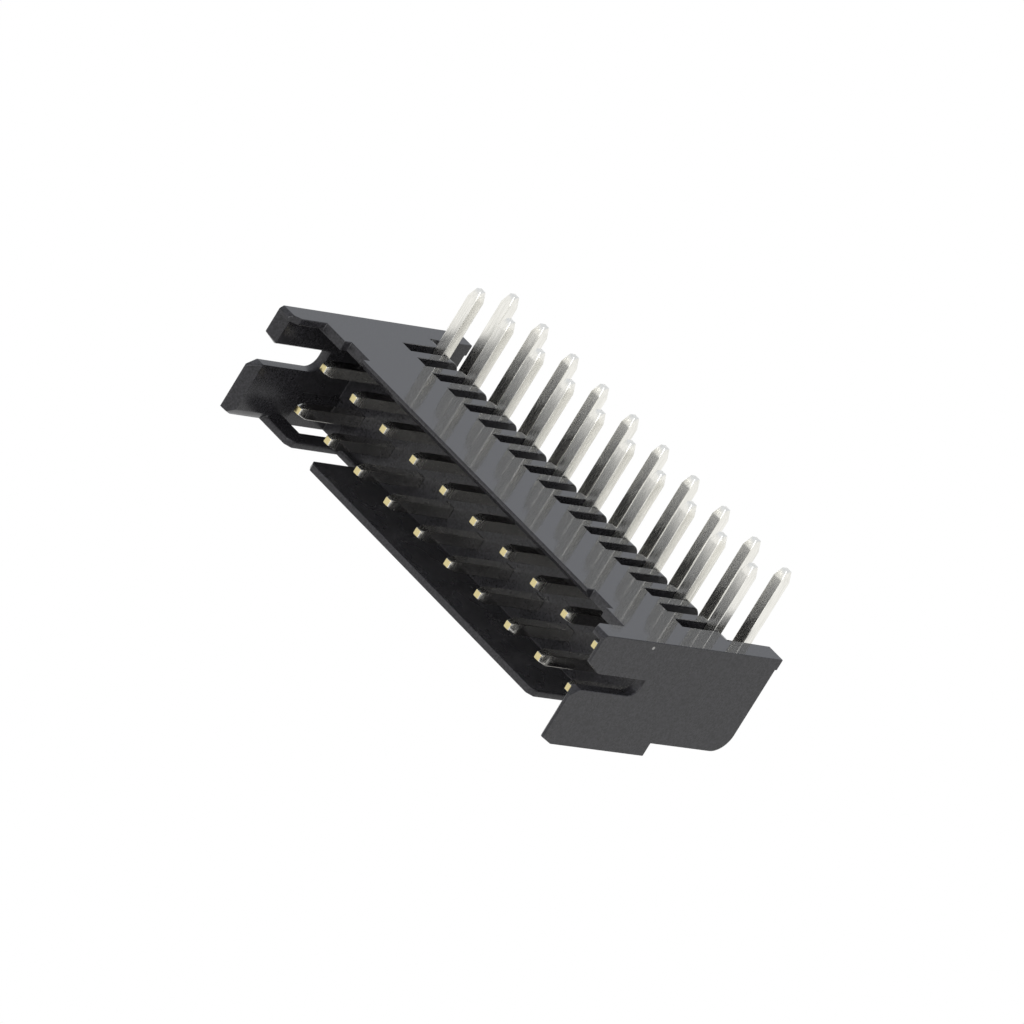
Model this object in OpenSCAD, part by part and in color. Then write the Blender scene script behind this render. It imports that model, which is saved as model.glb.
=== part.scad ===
// Right-angle box header for a circuit board: two rows of square pins on a 2 mm
// grid, bent down through a comb, inside a shrouded side-entry housing.
// X runs along the rows, the open mouth faces -Y, +Z points away from the board.
// Origin: centre of the solder-tail grid, on the face that seats on the board.

/* [Contacts] */
// Number of contacts in each of the two rows
positions = 10; // [4:1:14]
// Spacing of the contacts along a row
pitch = 2; // [1.8:0.1:2.5]
// Spacing of the two rows, in the mouth and on the board
row_pitch = 2; // [1.8:0.1:2.5]
// Side of the square pin
pin_w = 0.5; // [0.4:0.05:0.6]
// Side of the flat cut end of a pin
pin_tip_w = 0.28; // [0.15:0.01:0.35]
// Length of the taper at each end of a pin
pin_taper = 0.45; // [0.2:0.05:0.6]
// Inner radius of the right-angle bend
bend_r = 0.25; // [0.1:0.05:0.3]
// Distance from the contact tips to the front row of solder tails
tip_to_tail = 5.95; // [5.6:0.05:6.5]
// Length of the solder tails below the board face
tail_len = 2.97; // [2:0.01:4]

/* [Housing] */
// Height of the shroud
shroud_h = 5.05; // [4.9:0.05:5.4]
// Height of the contact row nearest the board
first_row_z = 1.5; // [1.45:0.05:1.6]
// Distance from the outermost contacts to the outer faces of the end walls
end_margin = 1.75; // [1.7:0.05:2]
// Thickness of an end wall beside the base and along its rim on the board side
end_wall = 0.9; // [0.8:0.05:1]
// Thickness of the thin arm of an end wall beside the mouth
arm_wall = 0.45; // [0.4:0.05:0.6]
// Height of the thick rim below the arm
rim_h = 0.3; // [0.2:0.05:0.4]
// Thickness of the wall on the board side
board_wall = 0.42; // [0.3:0.02:0.5]
// Thickness of the wall away from the board
top_wall = 0.3; // [0.25:0.05:0.4]
// How far the end walls stand in front of the contact tips
end_reach = 2.05; // [1.5:0.05:2.5]
// How far the contact tips stand in front of the wall away from the board
top_setback = 0.3; // [0.1:0.05:0.6]
// How far the board-side wall stands in front of the contact tips
board_reach = 0.15; // [0:0.05:0.6]
// Depth of the mouth behind the contact tips
cavity_depth = 3.55; // [3.3:0.05:3.6]
// Thickness of the base that holds the pins
base_t = 1.8; // [1.2:0.05:1.8]
// Height of the end walls behind the base
rear_h = 4.45; // [4:0.01:4.8]
// How far the end walls stand behind the rear row of tails
rear_reach = 0.4; // [0.25:0.01:0.6]

/* [Keying slots] */
// Width of the slot in each end wall
slot_w = 0.77; // [0.65:0.01:1]
// Height of the slot's board-side edge
slot_z = 1.73; // [1.6:0.01:2]
// Depth of the slot behind the contact tips
slot_depth = 1.6; // [1:0.01:2.5]
// How far the slot's board-side face falls towards the mouth
slot_fall = 0.27; // [0.1:0.01:0.4]

/* [Windows] */
// Half length of the middle stretch of the wall away from the board
top_half = 7.45; // [7:0.05:7.6]
// Distance from the middle to the inner side of each corner stretch
corner_in = 8.7; // [8.2:0.05:8.9]
// Depth of the relief slot between them, behind the contact tips
relief_depth = 3.2; // [2:0.05:3.5]
// Width of the window in each corner stretch
window_w = 1; // [0.6:0.05:1.1]
// Length of the window
window_l = 2.45; // [1.5:0.05:2.6]

/* [Comb] */
// Number of comb grooves in one pitch
grooves_per_pitch = 2; // [1:1:2]
// Width of a comb groove
groove_w = 0.54; // [0.52:0.01:0.6]
// Height of the comb fingers
finger_h = 1; // [0.8:0.05:1.1]
// Radius of the rounded lower end of a finger
finger_r = 0.6; // [0.5:0.05:1]
// How far the fingers stand behind the front row of tails
finger_reach = 0.25; // [0.1:0.05:0.3]

/* [Hidden] */
$fn = 48;
// Wall left between the mouth and the comb grooves
comb_skin = 0.25;
// Length of the shroud that runs back over the base
shroud_overlap = 0.48;
row_l = (positions - 1) * pitch;
second_row_z = first_row_z + row_pitch;
front_tail_y = -row_pitch / 2;
rear_tail_y = row_pitch / 2;
tip_y = front_tail_y - tip_to_tail;
end_out = row_l / 2 + end_margin;
end_in = end_out - end_wall;
arm_in = end_out - arm_wall;
front_y = tip_y - end_reach;
board_front_y = tip_y - board_reach;
top_front_y = tip_y + top_setback;
base_front_y = tip_y + cavity_depth;
base_rear_y = base_front_y + base_t;
comb_front_y = base_front_y + comb_skin;
comb_rear_y = front_tail_y + pin_w / 2 + finger_reach;
step_y = base_front_y + shroud_overlap;
rear_y = rear_tail_y + rear_reach;
groove_pitch = pitch / grooves_per_pitch;
groove_count = (positions - 1) * grooves_per_pitch + 1;
cut = 0.1;

function contact_x(i) = -row_l / 2 + (i - 1) * pitch;

// Extrudes an outline drawn in Y and Z along X, centred on x = 0
module along_x(length) {
    rotate([90, 0, 90]) linear_extrude(length, center = true) children();
}

// ---- pins ----

// Side outline of a bent pin in Y and Z, with its contact at height z and its tail at y
module pin_outline(y, z) {
    half = pin_w / 2;
    tip_half = pin_tip_w / 2;
    bend_y = y - half - bend_r;
    bend_z = z - half - bend_r;
    difference() {
        polygon([
            [tip_y, z + tip_half], [tip_y + pin_taper, z + half], [y + half, z + half],
            [y + half, -tail_len + pin_taper], [y + tip_half, -tail_len],
            [y - tip_half, -tail_len], [y - half, -tail_len + pin_taper],
            [y - half, bend_z], [bend_y, bend_z], [bend_y, z - half],
            [tip_y + pin_taper, z - half], [tip_y, z - tip_half]
        ]);
        translate([bend_y, bend_z]) circle(bend_r);
        translate([bend_y, bend_z]) difference() {
            square(bend_r + pin_w + cut);
            circle(bend_r + pin_w);
        }
    }
}

// Outline, in X and Y, of the two slivers that bring the sides of a point together
module point_sides() {
    for (side = [-1, 1])
        polygon([
            [side * pin_w / 2, 0], [side * pin_tip_w / 2, -pin_taper],
            [side * pin_tip_w / 2, -pin_taper - cut], [side * pin_w, -pin_taper - cut], [side * pin_w, 0]
        ]);
}

module bent_pin(i, y, z) {
    translate([contact_x(i), 0, 0]) difference() {
        along_x(pin_w) pin_outline(y, z);
        translate([0, tip_y + pin_taper, z - pin_w]) linear_extrude(2 * pin_w) point_sides();
        translate([0, y + pin_w, -tail_len + pin_taper]) rotate([90, 0, 0])
            linear_extrude(2 * pin_w) point_sides();
    }
}

module short_pin(i) {
    color("gainsboro") bent_pin(i, front_tail_y, first_row_z);
}

module long_pin(i) {
    color("gainsboro") bent_pin(i, rear_tail_y, second_row_z);
}

// ---- housing ----

// Corner piece that rounds an outline's corner at the origin, lying at +X and +Y
module corner_round(r) {
    translate([-r, -r]) difference() {
        square(r + cut);
        circle(r);
    }
}

// Side outline of an end wall
module end_outline() {
    corner_y = 0.65;
    corner_z = 0.25;
    nose = 0.15;
    foot_h = 0.5;
    foot_y = 0.1;
    rear_r = 0.85;
    difference() {
        union() {
            polygon([
                [front_y + nose, 0], [front_y, nose], [front_y, shroud_h - corner_z],
                [front_y + corner_y, shroud_h], [step_y, shroud_h], [step_y, 0]
            ]);
            translate([step_y - cut, 0]) square([rear_y - step_y + cut, rear_h]);
            translate([rear_y - cut, 0]) square([foot_y + cut, foot_h]);
        }
        translate([rear_y, rear_h]) corner_round(rear_r);
    }
}

// Keying slot in the end wall, open to the front, with bevelled mouth corners
module slot_outline() {
    end_y = tip_y + slot_depth;
    top_z = slot_z + slot_w;
    top_r = 0.5;
    board_r = 0.1;
    upper_y = 0.45;
    upper_z = 0.29;
    lower_y = 0.88;
    lower_z = 0.48;
    difference() {
        translate([front_y - cut, slot_z]) square([end_y - front_y + cut, slot_w]);
        translate([end_y, top_z]) corner_round(top_r);
        translate([end_y, slot_z]) mirror([0, 1]) corner_round(board_r);
    }
    polygon([
        [front_y - cut, slot_z - lower_z], [front_y, slot_z - lower_z], [front_y + lower_y, slot_z],
        [front_y + lower_y, top_z], [front_y + upper_y, top_z],
        [front_y, top_z + upper_z], [front_y - cut, top_z + upper_z]
    ]);
}

// Outline that takes off a wall's inner corner at the origin, w into the wall and d down it
module inner_bevel(w, d) {
    polygon([[-cut, cut], [w, cut], [w, 0], [0, -d], [-cut, -d]]);
}

// Extrudes an outline drawn in X and Z along Y, back from the front to y
module to_front(y) {
    translate([0, y, 0]) rotate([90, 0, 0]) linear_extrude(y - front_y + cut) children();
}

// Room beside the mouth that leaves only a thin arm above the rim
module arm_room() {
    translate([end_in - cut, front_y - cut, rim_h])
        cube([arm_in - end_in + cut, base_front_y - front_y + cut, shroud_h]);
}

// Bevels of the right-hand arm: along its front end, its free edge and its slot
module arm_bevels() {
    bevel_w = arm_wall - 0.12;
    bevel_d = 0.42;
    translate([arm_in, front_y, rim_h]) mirror([0, 1, 0])
        linear_extrude(shroud_h) inner_bevel(bevel_w, bevel_d);
    to_front(top_front_y) translate([arm_in, shroud_h]) inner_bevel(bevel_w, bevel_d);
    to_front(tip_y + slot_depth) translate([arm_in, slot_z]) inner_bevel(arm_wall, slot_fall);
}

// Lead-in of the mouth on the right-hand rim
module rim_lead_in() {
    lead_x = 0.28;
    lead_y = 0.45;
    translate([end_in, front_y, -cut]) mirror([0, 1, 0])
        linear_extrude(rim_h + 2 * cut) inner_bevel(lead_x, lead_y);
}

module end_wall_right() {
    difference() {
        translate([(end_in + end_out) / 2, 0, 0]) along_x(end_wall) end_outline();
        translate([end_out, 0, 0]) along_x(4 * end_wall) slot_outline();
        arm_room();
        arm_bevels();
        rim_lead_in();
    }
}

// Plan outline of the wall away from the board, right-hand half
module top_outline_right() {
    bevel = 0.25;
    polygon([
        [0, top_front_y], [top_half - bevel, top_front_y], [top_half, top_front_y + bevel],
        [top_half, tip_y + relief_depth], [corner_in, tip_y + relief_depth],
        [corner_in, top_front_y + bevel], [corner_in + bevel, top_front_y],
        [arm_in + cut, top_front_y], [arm_in + cut, step_y], [0, step_y]
    ]);
}

// Window through the corner stretch, sunk into the corner of the base behind it
module window_right() {
    side_bar = 0.75;
    front_bar = 1.15;
    depth = 1.6;
    translate([corner_in + side_bar, top_front_y + front_bar, shroud_h - depth])
        cube([window_w, window_l, depth + cut]);
}

// Board-side wall: thin lip along the middle, blunt and notched near both ends
module board_side() {
    lip = 0.14;
    lip_y = 0.35;
    notch_in = 7.45;
    notch_l = 1.2;
    notch_y = 0.4;
    difference() {
        translate([-arm_in - cut, board_front_y, 0])
            cube([2 * (arm_in + cut), base_front_y - board_front_y + cut, board_wall]);
        along_x(2 * notch_in) polygon([
            [board_front_y - cut, lip], [board_front_y, lip],
            [board_front_y + lip_y, board_wall], [board_front_y + lip_y, board_wall + cut],
            [board_front_y - cut, board_wall + cut]
        ]);
        for (side = [-1, 1])
            translate([side * (notch_in + notch_l / 2) - notch_l / 2, board_front_y - cut, -cut])
                cube([notch_l, notch_y + cut, board_wall + 2 * cut]);
    }
}

// Base block across the rear of the mouth
module base() {
    translate([-end_in - cut, base_front_y, 0]) cube([2 * (end_in + cut), base_t, rear_h]);
    translate([-end_in - cut, base_front_y, 0])
        cube([2 * (end_in + cut), step_y - base_front_y, shroud_h]);
}

// Fingers behind the base that hold the front row of tails in line
module comb_outline() {
    difference() {
        translate([base_rear_y - cut, 0]) square([comb_rear_y - base_rear_y + cut, finger_h]);
        translate([comb_rear_y, 0]) mirror([0, 1]) corner_round(finger_r);
    }
}

module comb_body() {
    along_x(2 * (end_in + cut)) comb_outline();
}

module comb_grooves() {
    for (k = [0:groove_count - 1])
        translate([-row_l / 2 + k * groove_pitch - groove_w / 2, comb_front_y, -cut])
            cube([groove_w, comb_rear_y - comb_front_y + cut, finger_h + cut]);
}

// Square holes that the pins are pressed into
module pin_holes() {
    for (i = [1:positions], z = [first_row_z, second_row_z])
        translate([contact_x(i) - pin_w / 2, base_front_y - cut, z - pin_w / 2])
            cube([pin_w, base_t + 2 * cut, pin_w]);
}

module housing() {
    color("#3a393d") difference() {
        union() {
            for (side = [0, 1]) mirror([side, 0, 0]) {
                end_wall_right();
                translate([0, 0, shroud_h - top_wall]) linear_extrude(top_wall) top_outline_right();
            }
            board_side();
            base();
            comb_body();
        }
        for (side = [0, 1]) mirror([side, 0, 0]) window_right();
        comb_grooves();
        pin_holes();
    }
}

housing();
for (i = [1:positions]) {
    short_pin(i);
    long_pin(i);
}
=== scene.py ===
import math
import bmesh
import bpy
import numpy as np
from mathutils import Matrix, Vector


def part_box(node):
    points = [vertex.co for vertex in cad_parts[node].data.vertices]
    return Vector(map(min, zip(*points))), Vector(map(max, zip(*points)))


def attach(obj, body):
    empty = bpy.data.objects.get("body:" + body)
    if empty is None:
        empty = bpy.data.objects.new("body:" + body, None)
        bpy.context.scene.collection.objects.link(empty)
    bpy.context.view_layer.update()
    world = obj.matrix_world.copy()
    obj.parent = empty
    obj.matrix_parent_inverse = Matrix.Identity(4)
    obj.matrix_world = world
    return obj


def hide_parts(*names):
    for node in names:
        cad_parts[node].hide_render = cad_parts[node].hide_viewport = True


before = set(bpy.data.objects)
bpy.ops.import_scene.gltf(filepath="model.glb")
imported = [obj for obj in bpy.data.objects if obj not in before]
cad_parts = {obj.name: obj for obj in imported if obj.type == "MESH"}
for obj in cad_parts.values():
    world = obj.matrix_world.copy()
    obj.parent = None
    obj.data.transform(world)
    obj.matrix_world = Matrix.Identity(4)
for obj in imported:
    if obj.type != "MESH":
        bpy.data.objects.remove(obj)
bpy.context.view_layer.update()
mm = 0.001
print("frame loaded:", len(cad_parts), "nodes")


def linearColour(hexCode):
    # sRGB hex to linear: values under 0.04045 divided by 12.92, the rest raised to 2.4
    parts = [int(hexCode[i:i + 2], 16) / 255 for i in (1, 3, 5)]
    return tuple(c / 12.92 if c <= 0.04045 else ((c + 0.055) / 1.055) ** 2.4 for c in parts) + (1.0,)


def addNode(tree, kind, settings=None, **inputs):
    # one node with its settings, and for each input a value or the socket that feeds it;
    # an input is named by its label, with _ for a space, or as i and its number
    node = tree.nodes.new(kind)
    for name, value in (settings or {}).items():
        setattr(node, name, value)
    for name, value in inputs.items():
        key = int(name[1:]) if name[1:].isdigit() else name.replace("_", " ")
        socket = node.inputs[key]
        if isinstance(value, bpy.types.NodeSocket):
            tree.links.new(value, socket)
        else:
            socket.default_value = value
    return node


def newMaterial(name):
    material = bpy.data.materials.new(name)
    material.use_nodes = True
    material.node_tree.nodes.clear()
    return material, material.node_tree


def perMetre(sizeMm):
    # noise scale on Object coordinates, which are metres, for features of this size
    return 1 / (sizeMm * mm)


# Black glass-filled nylon, injection moulded: to the eye a charcoal plastic with a broad satin
# sheen and faint fibre flecks, and a polished board face that mirrors the tails.
nylon = {
    "dark": "#161617",
    "light": "#2e2d30",
    "fibreMm": 0.09,           # glass fibres just under the skin, drawn a little coarser than real
    "fibreDetail": 3.0,
    "fibreBreakUp": 0.65,
    "fibreRange": (0.35, 0.65),
    "flowMm": 1.6,             # slow change of gloss along the melt's flow
    "flowDetail": 2.0,
    "flowRange": (0.3, 0.7),
    "rough": 0.27,             # finely eroded faces
    "roughSpread": 0.06,
    "roughBoard": 0.08,        # the polished board face
    "boardFaceMm": 0.06,       # which ends at this height
    "ior": 1.39,
    "grainStrength": 0.03,
    "grainMm": 0.006,          # depth of the grain
    "dust": ((-10.75, -5.998, 0.261, 0.085, "#8d8c88"),),   # x, y, z, radius in mm and colour
    "dustCore": 0.6,           # share of a speck's radius that is fully its colour
}


def blackNylon():
    s = nylon
    material, tree = newMaterial("glassFilledNylonBlack")
    place = addNode(tree, "ShaderNodeTexCoord").outputs["Object"]
    fibres = addNode(tree, "ShaderNodeTexNoise", Vector=place, Scale=perMetre(s["fibreMm"]),
                     Detail=s["fibreDetail"], Roughness=s["fibreBreakUp"])
    flow = addNode(tree, "ShaderNodeTexNoise", Vector=place, Scale=perMetre(s["flowMm"]),
                   Detail=s["flowDetail"])
    shade = addNode(tree, "ShaderNodeMapRange", Value=fibres.outputs[0],
                    From_Min=s["fibreRange"][0], From_Max=s["fibreRange"][1])
    colour = addNode(tree, "ShaderNodeMix", {"data_type": "RGBA"}, i0=shade.outputs[0],
                     i6=linearColour(s["dark"]), i7=linearColour(s["light"])).outputs[2]
    for x, y, z, radius, dustColour in s["dust"]:
        # a speck: within its radius of a point on the surface
        away = addNode(tree, "ShaderNodeVectorMath", {"operation": "DISTANCE"}, i0=place,
                       i1=(x * mm, y * mm, z * mm))
        inside = addNode(tree, "ShaderNodeMapRange", Value=away.outputs["Value"],
                         From_Min=radius * mm, From_Max=radius * mm * s["dustCore"])
        colour = addNode(tree, "ShaderNodeMix", {"data_type": "RGBA"}, i0=inside.outputs[0],
                         i6=colour, i7=linearColour(dustColour)).outputs[2]
    eroded = addNode(tree, "ShaderNodeMapRange", Value=flow.outputs[0],
                     From_Min=s["flowRange"][0], From_Max=s["flowRange"][1],
                     To_Min=s["rough"] - s["roughSpread"], To_Max=s["rough"] + s["roughSpread"])
    height = addNode(tree, "ShaderNodeSeparateXYZ", Vector=place)
    boardFace = addNode(tree, "ShaderNodeMath", {"operation": "LESS_THAN"}, i0=height.outputs["Z"],
                        i1=s["boardFaceMm"] * mm)
    gloss = addNode(tree, "ShaderNodeMix", i0=boardFace.outputs[0], i2=eroded.outputs[0],
                    i3=s["roughBoard"])
    grain = addNode(tree, "ShaderNodeBump", Strength=s["grainStrength"],
                    Distance=s["grainMm"] * mm, Height=fibres.outputs[0])
    shader = addNode(tree, "ShaderNodeBsdfPrincipled", Base_Color=colour,
                     Roughness=gloss.outputs[0], IOR=s["ior"], Normal=grain.outputs[0])
    addNode(tree, "ShaderNodeOutputMaterial", Surface=shader.outputs[0])
    return material


# Tin plate over drawn brass wire: to the eye a soft silver with fine lines along the wire and slow
# waves in its reflections, bright on the contacts, and warm bare brass where their ends were cut.
tin = {
    "colour": "#f4f2ec",
    "shade": "#e0dfd8",
    "drawMm": (0.05, 0.05, 0.9),   # drawing lines along the wire
    "drawDetail": 3.0,
    "shadeRange": (0.35, 0.7),
    "roughRange": (0.3, 0.7),
    "roughSpread": (0.8, 1.3),     # times the roughness of the pin
    "waveMm": (0.35, 0.35, 1.2),   # slow waves of the plating, longer along the tail
    "waveDetail": 2.0,
    "waveStrength": 0.3,
    "waveDepth": 0.02,             # mm
    "brass": "#d2c492",
    "brassDepth": 0.012,           # mm of the contact's cut end that shows brass
    "contactRough": 0.1,           # the contacts in the mouth are left bright
    "contactStarts": (0.4, 0.6),   # mm behind the tip over which they turn bright
    "contactReach": 3.6,           # mm behind the tip where the bright part ends
}


def tinPlate(name, roughness):
    s = tin
    material, tree = newMaterial(name)
    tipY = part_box("short_pin_1")[0][1]
    mouthY = tipY + s["contactReach"] * mm
    place = addNode(tree, "ShaderNodeTexCoord").outputs["Object"]
    stretched = addNode(tree, "ShaderNodeMapping", Vector=place,
                        Scale=tuple(perMetre(v) for v in s["waveMm"]))
    waves = addNode(tree, "ShaderNodeTexNoise", Vector=stretched.outputs[0], Scale=1.0,
                    Detail=s["waveDetail"])
    lines = addNode(tree, "ShaderNodeMapping", Vector=place,
                    Scale=tuple(perMetre(v) for v in s["drawMm"]))
    drawn = addNode(tree, "ShaderNodeTexNoise", Vector=lines.outputs[0], Scale=1.0,
                    Detail=s["drawDetail"])
    tone = addNode(tree, "ShaderNodeMapRange", Value=drawn.outputs[0],
                   From_Min=s["shadeRange"][0], From_Max=s["shadeRange"][1])
    plated = addNode(tree, "ShaderNodeMix", {"data_type": "RGBA"}, i0=tone.outputs[0],
                     i6=linearColour(s["colour"]), i7=linearColour(s["shade"]))
    along = addNode(tree, "ShaderNodeSeparateXYZ", Vector=place)
    cutEnd = addNode(tree, "ShaderNodeMath", {"operation": "LESS_THAN"}, i0=along.outputs["Y"],
                     i1=tipY + s["brassDepth"] * mm)
    colour = addNode(tree, "ShaderNodeMix", {"data_type": "RGBA"}, i0=cutEnd.outputs[0],
                     i6=plated.outputs[2], i7=linearColour(s["brass"]))
    satin = addNode(tree, "ShaderNodeMapRange", Value=drawn.outputs[0],
                    From_Min=s["roughRange"][0], From_Max=s["roughRange"][1],
                    To_Min=roughness * s["roughSpread"][0], To_Max=roughness * s["roughSpread"][1])
    behindTip = addNode(tree, "ShaderNodeMapRange", Value=along.outputs["Y"],
                        From_Min=tipY + s["contactStarts"][0] * mm,
                        From_Max=tipY + s["contactStarts"][1] * mm)
    beforeBase = addNode(tree, "ShaderNodeMath", {"operation": "LESS_THAN"},
                         i0=along.outputs["Y"], i1=mouthY)
    inMouth = addNode(tree, "ShaderNodeMath", {"operation": "MULTIPLY"},
                      i0=behindTip.outputs[0], i1=beforeBase.outputs[0])
    gloss = addNode(tree, "ShaderNodeMix", i0=inMouth.outputs[0], i2=satin.outputs[0],
                    i3=s["contactRough"])
    ripple = addNode(tree, "ShaderNodeBump", Strength=s["waveStrength"],
                     Distance=s["waveDepth"] * mm, Height=waves.outputs[0])
    shader = addNode(tree, "ShaderNodeBsdfPrincipled", Base_Color=colour.outputs[2], Metallic=1.0,
                     Roughness=gloss.outputs[0], Normal=ripple.outputs[0])
    addNode(tree, "ShaderNodeOutputMaterial", Surface=shader.outputs[0])
    return material


housingPiece = {
    "edge": 0.035,             # mm, what a polished mould leaves on an edge
    "segments": 2,
    "slot": "housing_plastic",
}
pinPiece = {
    "edge": 0.025,             # mm, the wire's own corners
    "segments": 2,
    "slot": "pin_metal",
    "shortRough": 0.25,
    "longRough": 0.23,
}
copying = {
    "weldMm": 0.001,           # corners closer than this are one
    "flatDegrees": 0.5,        # faces that meet at less than this are one
    "edgeDegrees": 30,         # edges that turn by more than this are softened
    "flatWeight": 100,         # large faces keep their own shading beside the soft edges
}


def softenedCopy(nodeName, pieceName, settings, material):
    # merges the triangles, joins those that lie in one plane, then softens the sharp edges
    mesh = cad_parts[nodeName].data.copy()
    mesh.name = pieceName
    work = bmesh.new()
    work.from_mesh(mesh)
    bmesh.ops.remove_doubles(work, verts=work.verts, dist=copying["weldMm"] * mm)
    bmesh.ops.dissolve_limit(work, angle_limit=math.radians(copying["flatDegrees"]),
                             verts=work.verts, edges=work.edges)
    work.to_mesh(mesh)
    work.free()
    mesh.polygons.foreach_set("use_smooth", np.ones(len(mesh.polygons), dtype=bool))
    mesh.materials.clear()
    mesh.materials.append(material)
    piece = bpy.data.objects.new(pieceName, mesh)
    bpy.context.scene.collection.objects.link(piece)
    bevel = piece.modifiers.new("softEdges", "BEVEL")
    bevel.width = settings["edge"] * mm
    bevel.segments = settings["segments"]
    bevel.limit_method = "ANGLE"
    bevel.angle_limit = math.radians(copying["edgeDegrees"])
    bevel.use_clamp_overlap = False
    flat = piece.modifiers.new("flatFacesStayFlat", "WEIGHTED_NORMAL")
    flat.weight = copying["flatWeight"]
    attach(piece, "root")
    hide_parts(nodeName)


softenedCopy("housing", "shroudHousing", housingPiece, blackNylon())
print("housing made")

satinTin = tinPlate("tinPlateSatin", pinPiece["shortRough"])
brightTin = tinPlate("tinPlateBright", pinPiece["longRough"])
pinRows = {"long_pin_": ("longPin", brightTin), "short_pin_": ("shortPin", satinTin)}
for nodeStart, (pieceStart, plating) in pinRows.items():
    for nodeName in [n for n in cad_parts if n.startswith(nodeStart)]:
        number = nodeName[len(nodeStart):]
        softenedCopy(nodeName, pieceStart + number, pinPiece, plating)
print("pins made")


studio = {
    "tentColour": "#ffffff",
    "tentStrength": 1.0,
    "floorColour": "#e6e9ef",
    "floorDepth": 700,         # mm below the board face, so that views from below stay above it
    "floorSize": 5600,         # mm
    "boxWatts": 1.5,
    "boxSize": 300,            # mm
    "boxPlace": (-130, -440, -180),
}


def lightTent():
    # white from every side, which is also the background
    world = bpy.data.worlds.new("lightTent")
    bpy.context.scene.world = world
    world.use_nodes = True
    tree = world.node_tree
    tree.nodes.clear()
    tent = addNode(tree, "ShaderNodeBackground", Color=linearColour(studio["tentColour"]),
                   Strength=studio["tentStrength"])
    addNode(tree, "ShaderNodeOutputWorld", Surface=tent.outputs[0])


def paleFloor():
    half = studio["floorSize"] * mm / 2
    z = -studio["floorDepth"] * mm
    corners = [(-half, -half, z), (half, -half, z), (half, half, z), (-half, half, z)]
    mesh = bpy.data.meshes.new("floor")
    mesh.from_pydata(corners, [], [(0, 1, 2, 3)])
    floor = bpy.data.objects.new("floor", mesh)
    bpy.context.scene.collection.objects.link(floor)
    # matt paper: to the eye a plain cool white without shine
    material, tree = newMaterial("mattPaperFloor")
    paper = addNode(tree, "ShaderNodeBsdfDiffuse", Color=linearColour(studio["floorColour"]))
    addNode(tree, "ShaderNodeOutputMaterial", Surface=paper.outputs[0])
    mesh.materials.append(material)


def softbox():
    # one soft lamp in front and a little below, which reaches into the mouth
    lamp = bpy.data.lights.new("softbox", "AREA")
    lamp.energy = studio["boxWatts"]
    lamp.size = studio["boxSize"] * mm
    box = bpy.data.objects.new("softbox", lamp)
    bpy.context.scene.collection.objects.link(box)
    box.location = Vector(studio["boxPlace"]) * mm
    box.rotation_euler = (-box.location).to_track_quat("-Z", "Y").to_euler()


lightTent()
paleFloor()
softbox()
bpy.context.scene.view_settings.view_transform = "Standard"
print("light set")


cameraSettings = {
    "azimuth": 36.970,         # degrees from +Y towards +X that it looks
    "elevation": 19.050,       # degrees that it looks up
    "roll": 148.273,           # degrees that it is turned about its own axis
    "distance": 682.94,        # mm from the point aimed at
    "aim": (-0.084, -3.908, 1.394),
    "lens": 627.508,
    "clipEnd": 10,             # metres
}


def placeCamera():
    s = cameraSettings
    azimuth, elevation, roll = (math.radians(s[k]) for k in ("azimuth", "elevation", "roll"))
    ahead = math.cos(elevation)
    looks = Vector((math.sin(azimuth) * ahead, math.cos(azimuth) * ahead, math.sin(elevation)))
    side = looks.cross(Vector((0, 0, 1))).normalized()
    level = side.cross(looks)
    up = level * math.cos(roll) + side * math.sin(roll)
    right = looks.cross(up)
    camera = bpy.data.objects.new("camera", bpy.data.cameras.new("camera"))
    bpy.context.scene.collection.objects.link(camera)
    bpy.context.scene.camera = camera
    camera.data.lens = s["lens"]
    camera.data.clip_end = s["clipEnd"]
    camera.matrix_world = Matrix((right, up, -looks)).transposed().to_4x4()
    camera.location = (Vector(s["aim"]) - looks * s["distance"]) * mm


placeCamera()
print("camera placed")
